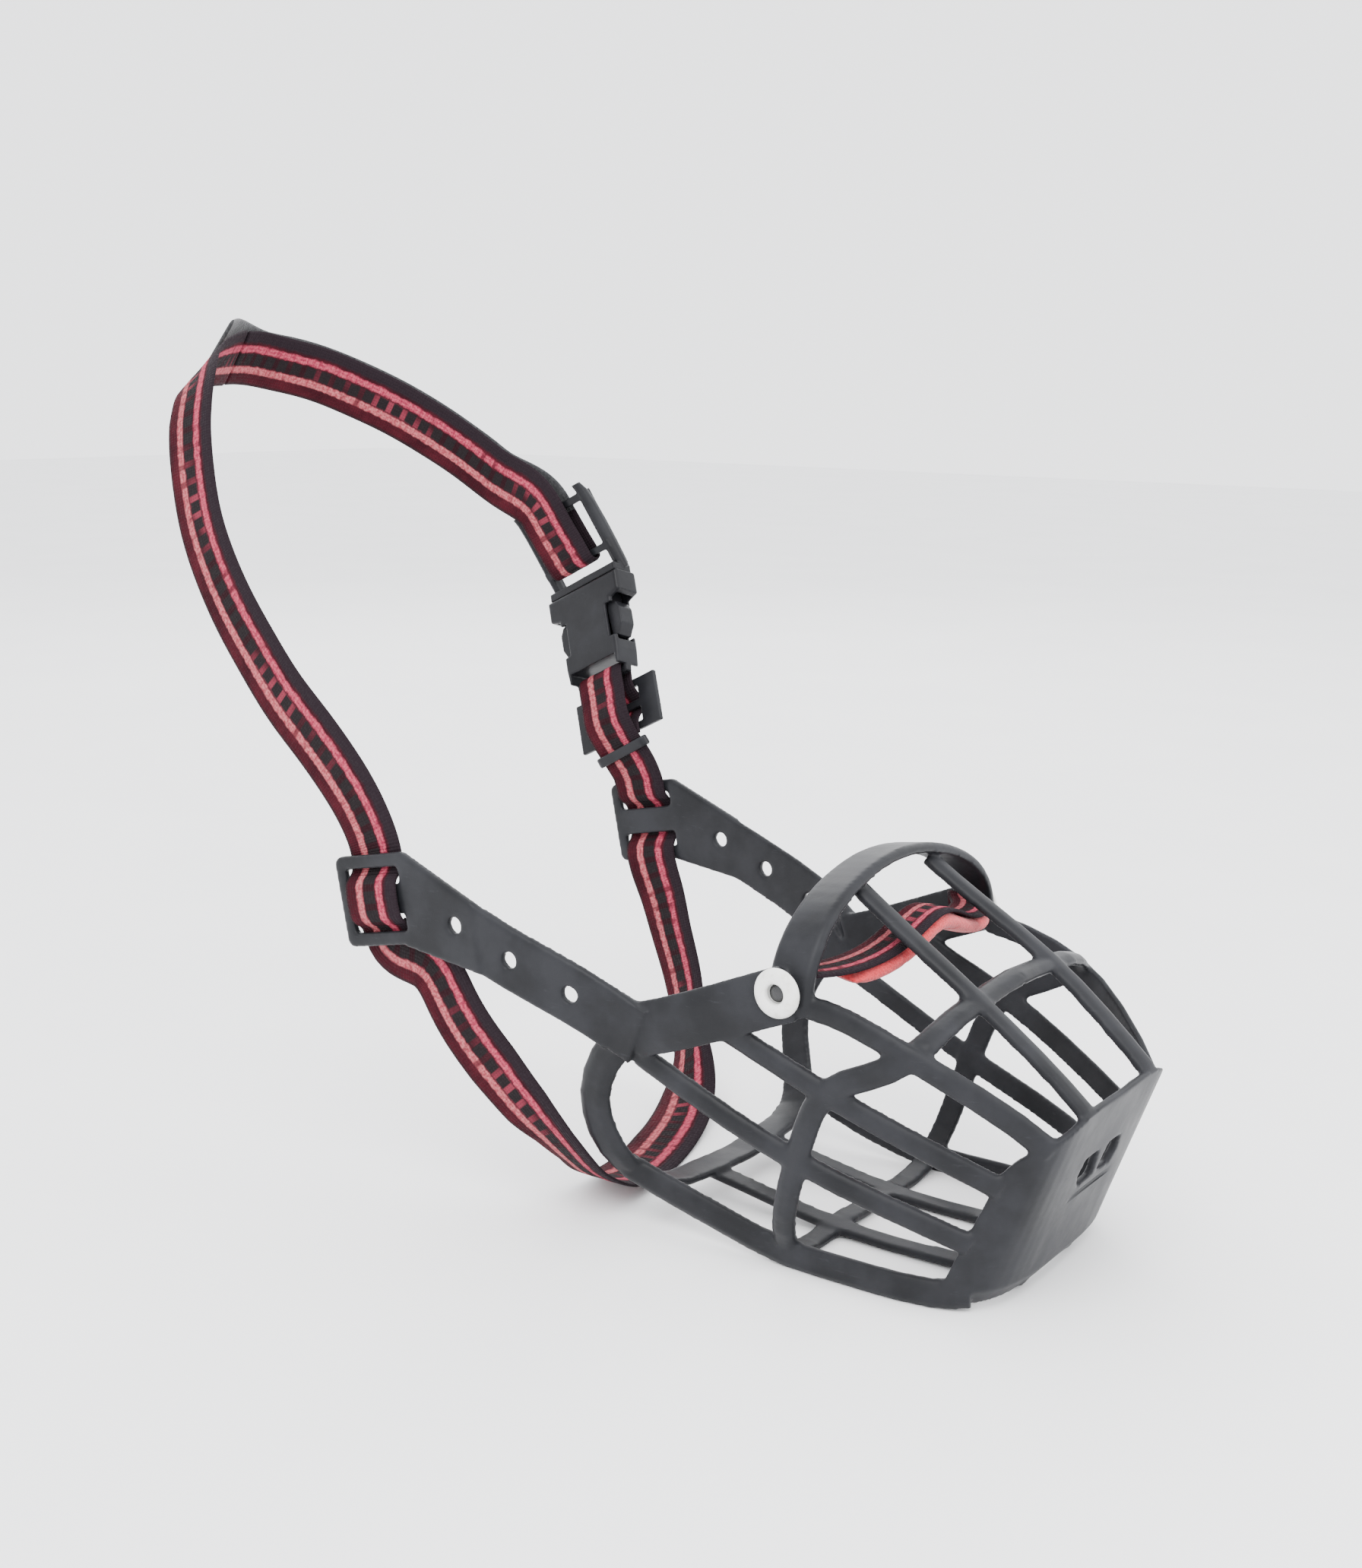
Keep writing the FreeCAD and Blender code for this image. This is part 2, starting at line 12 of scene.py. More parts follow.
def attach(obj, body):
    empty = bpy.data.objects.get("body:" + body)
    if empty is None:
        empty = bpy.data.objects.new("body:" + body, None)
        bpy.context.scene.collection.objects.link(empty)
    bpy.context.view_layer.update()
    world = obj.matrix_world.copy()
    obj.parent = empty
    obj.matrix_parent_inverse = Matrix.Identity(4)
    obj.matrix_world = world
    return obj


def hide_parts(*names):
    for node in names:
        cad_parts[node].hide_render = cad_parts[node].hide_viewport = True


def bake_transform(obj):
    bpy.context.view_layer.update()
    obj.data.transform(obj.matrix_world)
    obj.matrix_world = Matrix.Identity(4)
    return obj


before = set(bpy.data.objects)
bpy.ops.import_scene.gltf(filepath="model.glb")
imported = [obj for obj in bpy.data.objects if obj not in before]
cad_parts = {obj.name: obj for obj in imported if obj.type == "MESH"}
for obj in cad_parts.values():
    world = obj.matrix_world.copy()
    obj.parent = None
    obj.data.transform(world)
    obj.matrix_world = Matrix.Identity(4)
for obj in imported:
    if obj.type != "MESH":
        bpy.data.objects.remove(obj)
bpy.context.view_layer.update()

MM = 0.001
SAME_POINT = 0.001 * MM

# strap sizes and the arm ends, as in the frame
WEB_WIDTH = 20 * MM
WEB_THICK = 1.3 * MM
NOSE_WIDTH = 12 * MM
ARM_END = Vector((-124, 66, 86.5)) * MM
ARM_TILT = math.radians(12)
ARM_THICK = 2.6 * MM
SLOT_PITCH = 13.6 * MM
GAP = 0.3 * MM
IN_Y = ARM_END.y - ARM_THICK / 2 - GAP - WEB_THICK / 2
OUT_Y = ARM_END.y + ARM_THICK / 2 + GAP + WEB_THICK / 2
RIVET = Vector((4.6, 51.3, 81)) * MM
CAP_SEAT = 55.2 * MM

# the buckle's frame and the parts of it that webbing turns round
BUCKLE_FOOT = Vector((-142, 64.5, 132)) * MM
BUCKLE_ALONG = Vector((-0.42, 0.31, 0.853)).normalized()
BUCKLE_ACROSS = Vector((0.907, -0.03, 0.42))
BUCKLE_ACROSS = (BUCKLE_ACROSS - BUCKLE_ALONG * BUCKLE_ACROSS.dot(BUCKLE_ALONG)).normalized()
BUCKLE_THROUGH = BUCKLE_ALONG.cross(BUCKLE_ACROSS)
LADDER_BEND = math.radians(30)
LADDER_BASE = 38 * MM
LADDER_BAR = 8 * MM
LADDER_END = 28 * MM
LADDER_SHIFT = 2.1 * MM
LADDER_SLANT = 0.045
RAIL = 15.5 * MM
BAR_HALF = 1.2 * MM
TURN = BAR_HALF + 2 * GAP + WEB_THICK / 2
TAIL_LIFT = 1.7 * MM

# the slider's first bar and bar pitch, along the buckle, and how far out the webbing passes over its middle bar
SLIDER_BAR = -6.6 * MM
SLIDER_PITCH = 7.6 * MM
SLIDER_OVER = 6.25 * MM

# strap routes in millimetres: place, then the width's tilt above +X and its turn towards -Y, in degrees
NECK_RIGHT = [(-130.6, -63.8, 108.4, 18), (-136.1, -64, 116.5, 26), (-143.7, -64, 124.5, 34),
              (-152.6, -63.8, 132.3, 42), (-162.2, -63.3, 140.2, 45), (-178.4, -62, 156.6, 43),
              (-192.5, -60, 173.4, 40), (-203, -57.5, 191, 32), (-209.4, -54.5, 208.6, 22), (-213, -51, 220, 18),
              (-217.4, -45, 229, 24), (-223, -38, 233, 34), (-229.5, -27, 236.2, 46), (-236.5, -14, 237.7, 56),
              (-242.5, -5.4, 238, 58)]
NECK_LEFT = [(-243.5, -3.4, 238, 58), (-246.3, 6, 238, 60), (-246, 19, 236, 60), (-241.2, 32, 232.7, 60),
             (-233.4, 42, 227.7, 60), (-224.1, 51, 221.6, 59), (-213, 58.5, 214, 57), (-200.8, 64, 205.4, 50),
             (-189.5, 66.8, 198, 41)]
TAIL_END = [(-236.5, -16, 240.6, 52), (-242, -7, 241, 56)]
BUCKLE_STRAP = [(-127, 62.6, 102, 14), (-131.5, 60.8, 110, 18)]
THROAT_RIGHT = [(-110.2, -62.9, 71.3, 30), (-99.2, -62.5, 59.7, 38), (-86.6, -60, 43.5, 40),
                (-76.5, -57, 32, 37, 8), (-70, -53, 23.5, 28, 20), (-66, -45.5, 13.5, 14, 22)]
THROAT_MIDDLE = [(-66, -31, 4.6, 5, 12), (-69.5, -12, 1.3, 0), (-75, 8, 1.3, 0), (-80.5, 24, 2.8, 4)]
THROAT_LEFT = [(-88, 40, 8, 10, 12), (-94.5, 50, 16, 18, 22), (-99.5, 55.5, 25.5, 22, 20),
               (-104.3, 59, 35.5, 24, 15), (-111.5, 61.5, 51.5, 22, 10), (-116.3, 62.8, 63, 18, 5)]
# the nose strap's left half past its rivet, as places only
NOSE_HALF = [(5, 47.9, 84), (8, 44.4, 85), (12, 37, 85.2), (15, 27, 86.3), (16.5, 17, 88.6), (17.3, 8, 91.9),
             (17.5, 0, 93.4)]

# the webbing's pattern: places and half widths as shares of the width, then pitches along it and its warp threads
STRIPES = (0.3, 0.685)
STRIPE_HALF = 0.062
LADDER_MIDDLE = 0.49
LADDER_HALF = 0.105
RUNG_PITCH = 5.4 * MM
WEFT_PITCH = 1.7 * MM
WARP_COUNT = 19


# curves
def spline(knots, values, at):
    """The natural cubic spline through (knot, value) pairs."""
    step = np.diff(knots)
    count = len(knots)
    system = np.eye(count)
    right = np.zeros(values.shape)
    for i in range(1, count - 1):
        system[i, i - 1:i + 2] = step[i - 1], 2 * (step[i - 1] + step[i]), step[i]
        right[i] = 6 * ((values[i + 1] - values[i]) / step[i] - (values[i] - values[i - 1]) / step[i - 1])
    bend = np.linalg.solve(system, right)
    i = np.clip(np.searchsorted(knots, at) - 1, 0, count - 2)
    h = step[i][:, None]
    before = (knots[i + 1] - at)[:, None]
    after = (at - knots[i])[:, None]
    curve = (bend[i] * before ** 3 + bend[i + 1] * after ** 3) / (6 * h)
    curve += (values[i] / h - bend[i] * h / 6) * before
    return curve + (values[i + 1] / h - bend[i + 1] * h / 6) * after


def sampled(route, step):
    """Places, tangents, width directions and lengths so far, along a smooth curve through (place, width) pairs."""
    places = np.array([place for place, _ in route])
    knots = np.concatenate([[0], np.cumsum(np.linalg.norm(np.diff(places, axis=0), axis=1))])
    count = max(2, round(knots[-1] / step))
    at = np.linspace(0, knots[-1], count + 1)
    curve = spline(knots, places, at)
    along = np.gradient(curve, axis=0)
    along /= np.linalg.norm(along, axis=1)[:, None]
    widths = np.array([width for _, width in route])
    side = np.stack([np.interp(at, knots, widths[:, k]) for k in range(3)], axis=1)
    side -= along * (side * along).sum(axis=1)[:, None]
    side /= np.linalg.norm(side, axis=1)[:, None]
    length = np.concatenate([[0], np.cumsum(np.linalg.norm(np.diff(curve, axis=0), axis=1))])
    return curve, along, side, length


def tilted(degrees, turn=0):
    """A unit vector raised this far above +X, then turned this far towards -Y."""
    level = math.cos(math.radians(degrees))
    turn = math.radians(turn)
    return (level * math.cos(turn), -level * math.sin(turn), math.sin(math.radians(degrees)))


def strap_side(points):
    return [((x * MM, y * MM, z * MM), tilted(*angles)) for x, y, z, *angles in points]


def arm_frame(y, height, side):
    """A point at this height on the arm end's own axis, on the right (-1) or left (1)."""
    return (ARM_END.x - height * math.sin(ARM_TILT), side * y, ARM_END.z + height * math.cos(ARM_TILT))


def buckle_point(u, v, w):
    return BUCKLE_FOOT + BUCKLE_ACROSS * u + BUCKLE_THROUGH * v + BUCKLE_ALONG * w


def ladder_point(u, v, w):
    """A point in the plug's leaning ladder frame, as (u, v, w) of the buckle's frame."""
    lean = LADDER_BEND
    return (u, v * math.cos(lean) - w * math.sin(lean), LADDER_BASE + v * math.sin(lean) + w * math.cos(lean))


def buckle_rows(rows):
    return [(tuple(buckle_point(u, v, w)), tuple(BUCKLE_ACROSS)) for u, v, w in rows]


def half_turn(v, w, up):
    """Points round a bar, from its inner face to its outer one, in (v, w)."""
    angles = [math.pi * k / 6 for k in range(7)]
    return [(v - TURN * math.cos(a), w + up * TURN * math.sin(a)) for a in angles]


# mesh building
def new_piece(name, verts, faces):
    mesh = bpy.data.meshes.new(name)
    mesh.from_pydata([tuple(v) for v in verts], [], faces)
    return placed(name, mesh)


def placed(name, mesh):
    piece = bpy.data.objects.new(name, mesh)
    bpy.context.scene.collection.objects.link(piece)
    for polygon in mesh.polygons:
        polygon.use_smooth = True
    return piece


def applied(piece):
    """The piece with its modifiers applied to its mesh."""
    depsgraph = bpy.context.evaluated_depsgraph_get()
    mesh = bpy.data.meshes.new_from_object(piece.evaluated_get(depsgraph))
    piece.modifiers.clear()
    piece.data = mesh
    for polygon in mesh.polygons:
        polygon.use_smooth = True
    return piece


def mended(piece, merge=False, fill=False):
    """The piece with doubled points merged and open ends closed, if asked, and its faces turned outwards."""
    shape = bmesh.new()
    shape.from_mesh(piece.data)
    if merge:
        bmesh.ops.remove_doubles(shape, verts=shape.verts, dist=SAME_POINT)
    if fill:
        bmesh.ops.holes_fill(shape, edges=shape.edges)
    bmesh.ops.recalc_face_normals(shape, faces=shape.faces)
    shape.to_mesh(piece.data)
    shape.free()
    return piece


def web_height(u, stripes):
    """Half thickness of webbing at this place across it, as a share: thin selvages, raised stripes."""
    edge = (1 - abs(2 * u - 1) ** 9) ** 0.5
    raised = sum(math.exp(-((u - centre) / 0.06) ** 2) for centre in stripes)
    return 0.25 + 0.65 * edge + 0.12 * raised


def ribbon(name, route, width=WEB_WIDTH, thick=WEB_THICK, step=1.0 * MM, columns=26, stripes=(0.3, 0.68)):
    """A flat strap along a route, with UVs that run across it from 0 to 1 and along it in metres."""
    curve, along, side, length = sampled(route, step)
    face = np.cross(along, side)
    shares = [k / columns for k in range(columns + 1)]
    ring = [(u, web_height(u, stripes)) for u in shares] + [(u, -web_height(u, stripes)) for u in reversed(shares)]
    verts = []
    for i in range(len(curve)):
        ripple = 0.12 * MM * math.sin(length[i] / (7 * MM)) * math.sin(length[i] / (17 * MM))
        for u, h in ring:
            verts.append(curve[i] + side[i] * ((u - 0.5) * width) + face[i] * (h * thick / 2 + ripple))
    n = len(ring)
    faces = [(i * n + k, i * n + (k + 1) % n, (i + 1) * n + (k + 1) % n, (i + 1) * n + k)
             for i in range(len(curve) - 1) for k in range(n)]
    for first in (0, (len(curve) - 1) * n):
        for k in range(columns):
            faces.append((first + k, first + k + 1, first + n - 2 - k, first + n - 1 - k))
    piece = new_piece(name, verts, faces)
    layer = piece.data.uv_layers.new(name="UVMap")
    for loop in piece.data.loops:
        i, k = divmod(loop.vertex_index, n)
        layer.data[loop.index].uv = (ring[k][0], length[i])
    return mended(piece)


def lathe(name, outline, side, segments=64):
    """A turned piece on a rivet's axis, from (radius, distance outwards from the middle plane) points."""
    verts = []
    for k in range(segments):
        a = 2 * math.pi * k / segments
        for r, y in outline:
            verts.append((RIVET.x + r * math.cos(a), side * y, RIVET.z + r * math.sin(a)))
    n = len(outline)
    faces = [(k * n + i, k * n + i + 1, (k + 1) % segments * n + i + 1, (k + 1) % segments * n + i)
             for k in range(segments) for i in range(n - 1)]
    return mended(new_piece(name, verts, faces), merge=True)


def solid_box(centre, size, turn):
    """A box's mesh, for adding to or cutting from a moulded piece."""
    shape = bmesh.new()
    place = Matrix.Translation(centre) @ turn @ Matrix.Diagonal((*size, 1))
    bmesh.ops.create_cube(shape, size=1, matrix=place)
    mesh = bpy.data.meshes.new("solid")
    shape.to_mesh(mesh)
    shape.free()
    return mesh


def moulded(name, nodes, voxel, rounds, extra=(), cut=()):
    """Frame solids joined into one skin with soft edges and fillets, as a moulding has."""
    shape = bmesh.new()
    for mesh in [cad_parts[node].data for node in nodes] + list(extra):
        shape.from_mesh(mesh)
    bmesh.ops.remove_doubles(shape, verts=shape.verts, dist=SAME_POINT)
    mesh = bpy.data.meshes.new(name)
    shape.to_mesh(mesh)
    shape.free()
    piece = placed(name, mesh)
    remesh = piece.modifiers.new("skin", "REMESH")
    remesh.mode = "VOXEL"
    remesh.voxel_size = voxel
    applied(piece)
    for tool_mesh in cut:
        tool = placed(name + "_tool", tool_mesh)
        boolean = piece.modifiers.new("cut", "BOOLEAN")
        boolean.operation = "DIFFERENCE"
        boolean.object = tool
        applied(piece)
        bpy.data.objects.remove(tool)
    smooth = piece.modifiers.new("soften", "SMOOTH")
    smooth.factor = 0.5
    smooth.iterations = rounds
    applied(piece)
    piece.data.materials.clear()
    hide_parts(*nodes)
    return piece


# materials
class Nodes:
    """A material's node tree, with short calls for the nodes that these materials use."""

    def __init__(self, name):
        self.material = bpy.data.materials.new(name)
        self.material.use_nodes = True
        self.tree = self.material.node_tree
        self.shader = self.tree.nodes["Principled BSDF"]

    def put(self, socket, value):
        if isinstance(value, bpy.types.NodeSocket):
            self.tree.links.new(value, socket)
        elif isinstance(value, tuple) and len(value) == 3 and socket.type == "RGBA":
            socket.default_value = (*value, 1)
        else:
            socket.default_value = value

    def math(self, operation, *values):
        node = self.tree.nodes.new("ShaderNodeMath")
        node.operation = operation
        for socket, value in zip(node.inputs, values):
            self.put(socket, value)
        return node.outputs[0]

    def mix(self, share, first, second):
        """Colour that goes from first to second."""
        node = self.tree.nodes.new("ShaderNodeMix")
        node.data_type = "RGBA"
        self.put(node.inputs["Factor"], share)
        self.put(node.inputs[6], first)
        self.put(node.inputs[7], second)
        return node.outputs[2]

    def ease(self, value, low, high, to_low=0.0, to_high=1.0):
        """Smooth steps from to_low to to_high as the value goes from low to high."""
        node = self.tree.nodes.new("ShaderNodeMapRange")
        node.interpolation_type = "SMOOTHSTEP"
        for key, given in (("Value", value), ("From Min", low), ("From Max", high), ("To Min", to_low),
                           ("To Max", to_high)):
            self.put(node.inputs[key], given)
        return node.outputs["Result"]

    def coordinates(self, kind, scale=(1, 1, 1)):
        source = self.tree.nodes.new("ShaderNodeTexCoord")
        mapping = self.tree.nodes.new("ShaderNodeMapping")
        mapping.inputs["Scale"].default_value = scale
        self.tree.links.new(source.outputs[kind], mapping.inputs["Vector"])
        return mapping.outputs["Vector"]

    def noise(self, vector, scale, detail=3.0, roughness=0.55):
        node = self.tree.nodes.new("ShaderNodeTexNoise")
        self.put(node.inputs["Vector"], vector)
        node.inputs["Scale"].default_value = scale
        node.inputs["Detail"].default_value = detail
        node.inputs["Roughness"].default_value = roughness
        return node.outputs["Fac"]

    def bump(self, height, distance, strength=1.0, normal=None):
        node = self.tree.nodes.new("ShaderNodeBump")
        node.inputs["Distance"].default_value = distance
        node.inputs["Strength"].default_value = strength
        self.put(node.inputs["Height"], height)
        if normal is not None:
            self.put(node.inputs["Normal"], normal)
        return node.outputs["Normal"]

    def finish(self, colour, roughness, normal, **fixed):
        self.put(self.shader.inputs["Base Color"], colour)
        self.put(self.shader.inputs["Roughness"], roughness)
        self.put(self.shader.inputs["Normal"], normal)
        for key, value in fixed.items():
            self.shader.inputs[key.replace("_", " ").title().replace("Ior", "IOR")].default_value = value
        return self.material


def plastic(name, dark, light, roughness):
    """Moulded plastic: a fine grain, slow cloudiness and long pale scuffs."""
    make = Nodes(name)
    place = make.coordinates("Object")
    cloud = make.noise(place, 45, detail=4)
    grain = make.noise(place, 2600, detail=2)
    streaks = make.noise(make.coordinates("Object", (30, 30, 160)), 5, detail=5, roughness=0.7)
    scuff = make.ease(streaks, 0.6, 0.78)
    colour = make.mix(make.ease(cloud, 0.35, 0.7), dark, light)
    colour = make.mix(make.math("MULTIPLY", scuff, 0.35), colour, tuple(2.2 * c for c in light))
    shine = make.math("ADD", make.ease(cloud, 0.3, 0.7, roughness - 0.06, roughness + 0.08),
                      make.math("MULTIPLY", scuff, 0.12))
    normal = make.bump(grain, 0.00006, 0.35)
    normal = make.bump(cloud, 0.0012, 0.25, normal)
    return make.finish(colour, shine, normal, specular_ior_level=0.14)


def webbing_material(name):
    """Woven webbing: dark maroon, with two pink stripes beside a black ladder, and a black outer edge."""
    make = Nodes(name)
    source = make.tree.nodes.new("ShaderNodeTexCoord")
    split = make.tree.nodes.new("ShaderNodeSeparateXYZ")
    make.tree.links.new(source.outputs["UV"], split.inputs[0])
    across, along = split.outputs[0], split.outputs[1]
    metric = make.tree.nodes.new("ShaderNodeCombineXYZ")
    make.put(metric.inputs[0], make.math("MULTIPLY", across, WEB_WIDTH))
    make.put(metric.inputs[1], along)
    metric = metric.outputs[0]
    threads = make.noise(metric, 900, detail=3)
    patches = make.noise(metric, 55, detail=4, roughness=0.65)
    wander = make.math("MULTIPLY", make.math("SUBTRACT", make.noise(metric, 420, detail=4), 0.5), 0.07)
    u = make.math("ADD", across, wander)

    def stripe(centre, half, soft=0.02):
        away = make.math("ABSOLUTE", make.math("SUBTRACT", u, centre))
        return make.ease(away, half - soft, half + soft, 1.0, 0.0)

    def wave(pitch, shift=0.0):
        return make.math("SINE", make.math("ADD", make.math("MULTIPLY", along, 2 * math.pi / pitch), shift))

    rung = wave(RUNG_PITCH)
    beads = make.ease(patches, 0.48, 0.62)
    colour = make.mix(make.ease(patches, 0.35, 0.7), (0.024, 0.003, 0.006), (0.055, 0.006, 0.011))
    bright = make.ease(make.noise(metric, 22, detail=2), 0.5, 0.6)
    rungs = make.mix(bright, (0.016, 0.004, 0.006), (0.17, 0.025, 0.040))
    colour = make.mix(stripe(LADDER_MIDDLE, LADDER_HALF), colour, rungs)
    ladder = make.math("MULTIPLY", stripe(LADDER_MIDDLE, LADDER_HALF), make.ease(rung, -0.7, -0.2))
    colour = make.mix(ladder, colour, (0.012, 0.009, 0.010))
    colour = make.mix(make.ease(u, 0.77, 0.83), colour, (0.014, 0.009, 0.012))
    colour = make.mix(make.ease(u, 0.0, 0.085, 1.0, 0.0), colour, (0.014, 0.008, 0.010))
    pink = make.mix(make.ease(threads, 0.35, 0.65), (0.24, 0.022, 0.048), (0.40, 0.068, 0.10))
    salmon = make.mix(make.ease(threads, 0.35, 0.65), (0.25, 0.042, 0.055), (0.42, 0.115, 0.125))
    for centre, tone in zip(STRIPES, (salmon, pink)):
        bead = make.math("MULTIPLY", beads, make.ease(wave(RUNG_PITCH, centre), -0.9, -0.2, 0.75, 0.0))
        line = make.math("MULTIPLY", stripe(centre, STRIPE_HALF), make.math("SUBTRACT", 1.0, bead))
        colour = make.mix(line, colour, tone)
    weft = make.math("ABSOLUTE", wave(WEFT_PITCH))
    warp = make.math("ABSOLUTE", make.math("SINE", make.math("MULTIPLY", across, WARP_COUNT * math.pi)))
    weave = make.math("ADD", make.math("MULTIPLY", weft, 0.5), make.math("MULTIPLY", warp, 0.5))
    # painted shade: the colour is darkened in the low gaps between the threads, where the weave's bump sinks
    colour = make.mix(make.ease(weave, 0.1, 0.55, 0.35, 0.0), colour, (0.01, 0.006, 0.008))
    normal = make.bump(weave, 0.00028, 0.8)
    normal = make.bump(threads, 0.00018, 0.6, normal)
    return make.finish(colour, make.ease(threads, 0.3, 0.7, 0.62, 0.86), normal, specular_ior_level=0.06)


def fuzzy_material(name, dark, light, scale=900, sheen=0.35):
    """Cloth with a brushed face: loose fibres and worn pale patches."""
    make = Nodes(name)
    place = make.coordinates("Object")
    fibres = make.noise(place, scale, detail=5, roughness=0.7)
    worn = make.noise(place, 110, detail=4, roughness=0.7)
    colour = make.mix(make.ease(fibres, 0.35, 0.68), dark, light)
    colour = make.mix(make.ease(worn, 0.56, 0.75, 0.0, 0.5), colour, tuple(1.8 * c for c in light))
    normal = make.bump(fibres, 0.0005, 0.8)
    return make.finish(colour, make.ease(worn, 0.3, 0.7, 0.75, 0.95), normal, sheen_weight=sheen,
                       sheen_roughness=0.45)


def glossy_material(name, first, second, roughness):
    """Hard glossy plastic, faintly uneven and lightly soiled."""
    make = Nodes(name)
    place = make.coordinates("Object")
    soil = make.noise(place, 260, detail=4, roughness=0.65)
    colour = make.mix(make.ease(soil, 0.45, 0.75), first, second)
    normal = make.bump(soil, 0.0002, 0.2)
    return make.finish(colour, make.ease(soil, 0.3, 0.7, roughness, roughness + 0.15), normal)


CAGE = plastic("cage_plastic", (0.0085, 0.0088, 0.0102), (0.018, 0.0185, 0.0215), 0.40)
BUCKLE = plastic("buckle_plastic", (0.0075, 0.0075, 0.0088), (0.015, 0.0155, 0.018), 0.36)
WEBBING = webbing_material("maroon_webbing")
TAIL = fuzzy_material("black_webbing", (0.008, 0.008, 0.010), (0.035, 0.036, 0.038))
PAD = fuzzy_material("red_lining", (0.42, 0.010, 0.018), (0.66, 0.035, 0.045), scale=1400, sheen=0.3)
CAP = glossy_material("white_cap", (0.80, 0.80, 0.77), (0.62, 0.61, 0.56), 0.25)
PIN = glossy_material("black_pin", (0.010, 0.010, 0.011), (0.020, 0.020, 0.022), 0.22)


def dressed(piece, material, body=None):
    """Gives a piece its material, and the body that it rides on, if it keeps to one."""
    piece.data.materials.append(material)
    if body:
        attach(piece, body)


# the moulded parts
def cage():
    """The cage and its arms, in one skin, filled out at the arms' roots and slit under the nostrils."""
    arm_slope = Matrix.Rotation(math.radians(20), 4, "Y")
    roots = [solid_box(Vector((-42.5, side * 57.3, 62.9)) * MM, Vector((11, 3.2, 16.5)) * MM, arm_slope)
             for side in (-1, 1)]
    wall_slope = Matrix.Rotation(math.atan2(15.3, 48.6), 4, "Y")
    slit = solid_box(Vector((68.8, 0, 26.8)) * MM, Vector((2.4, 27, 2)) * MM, wall_slope)
    piece = moulded("cage_moulding", ["basket", "cheek_arm_left", "cheek_arm_right"], 0.62 * MM, 7, roots, [slit])
    dressed(piece, CAGE, "cage")


def rivets():
    """White caps, each with a deep hole that shows the black rivet."""
    outline = [(2.7, 0.7), (2.7, 1.75), (3.0, 2.1), (3.5, 2.35), (4.4, 2.4), (5.3, 2.2), (6.1, 1.7), (6.55, 1.0),
               (6.65, 0.3), (6.5, 0.0), (2.0, 0.0)]
    pin = [(0, 1.0), (1.0, 0.95), (1.7, 0.8), (2.2, 0.5), (2.4, 0.2), (2.3, 0.05), (1.9, 0.0), (1.9, -5.6),
           (3.9, -5.6), (4.0, -5.8), (3.6, -6.4), (2.0, -6.7), (0, -6.75)]
    for side, word in ((1, "left"), (-1, "right")):
        cap = lathe("cap_" + word, [(r * MM, CAP_SEAT + y * MM) for r, y in outline], side)
        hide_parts("rivet_cap_" + word)
        dressed(cap, CAP, "cage")
        rivet = lathe("pin_" + word, [(r * MM, CAP_SEAT + y * MM) for r, y in pin], side)
        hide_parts("rivet_" + word)
        dressed(rivet, PIN, "cage")


def rail_solids():
    """The plug's two ladder rails: deep, rounded, and hooked over at their tips."""
    # height up the ladder, middle and half depth, in millimetres
    rows = [(-1.5, 1.6, 2.2), (2, 1.7, 2.8), (8, 1.8, 3.0), (16, 1.8, 3.0), (23, 1.5, 2.8), (28, 0.7, 2.3),
            (31, -0.8, 1.4)]
    columns = 12
    half_width = 1.7 * MM
    inset = 0.9 * MM
    solids = []
    for side in (-1, 1):
        shape = bmesh.new()
        rings = []
        for w, v, half in rows:
            ring = []
            for k in range(columns):
                a = 2 * math.pi * k / columns
                u = side * (RAIL - inset) + half_width * math.cos(a)
                point = ladder_point(u, v * MM + half * MM * math.sin(a), w * MM)
                ring.append(shape.verts.new(buckle_point(*point)))
            rings.append(ring)
        for low, high in zip(rings, rings[1:]):
            for k in range(columns):
                after = (k + 1) % columns
                shape.faces.new((low[k], low[after], high[after], high[k]))
        shape.faces.new(rings[0])
        shape.faces.new(rings[-1])
        bmesh.ops.recalc_face_normals(shape, faces=shape.faces)
        mesh = bpy.data.meshes.new("rail")
        shape.to_mesh(mesh)
        shape.free()
        solids.append(mesh)
    return solids


def buckle():
    """The buckle's parts and the slider."""
    parts = [("socket_moulding", "buckle_socket", "neck_loop", 4, []),
             ("plug_moulding", "buckle_plug", "plug", 3, rail_solids()),
             ("front_prong_moulding", "buckle_prong_front", "prong_front", 4, []),
             ("back_prong_moulding", "buckle_prong_back", "prong_back", 4, []),
             ("slider_moulding", "strap_slider", "neck_loop", 3, [])]
    for name, node, body, rounds, extra in parts:
        piece = moulded(name, [node], 0.3 * MM, rounds, extra)
        dressed(piece, BUCKLE, body)


# the webbing
def in_slot(side, up):
    """From the middle of an arm's slot to the arm's inner face, away from the bar."""
    slot = SLOT_PITCH / 2
    face = ARM_END.y - ARM_THICK / 2
    rows = [(ARM_END.y, slot), (face - 0.55 * MM, slot + 2.0 * MM), (IN_Y - 0.1 * MM, slot + 4.6 * MM)]
    return [(arm_frame(y, up * h, side), tilted(12)) for y, h in rows]


def slot_straps():
    """The webbing over each arm's bar, from one slot to the other."""
    slot = SLOT_PITCH / 2
    half = [(ARM_END.y - 0.2 * MM, slot + 0.2 * MM), (OUT_Y - 0.35 * MM, slot - 1.9 * MM),
            (OUT_Y, slot - 3.6 * MM), (OUT_Y + 0.2 * MM, 0)]
    rows = half + [(y, -h) for y, h in reversed(half[:-1])]
    for side, word in ((1, "left"), (-1, "right")):
        route = [(arm_frame(y, h, side), tilted(12)) for y, h in rows]
        piece = ribbon("bar_webbing_" + word, route, step=0.5 * MM)
        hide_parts("slot_strap_" + word)
        dressed(piece, WEBBING, "cage")


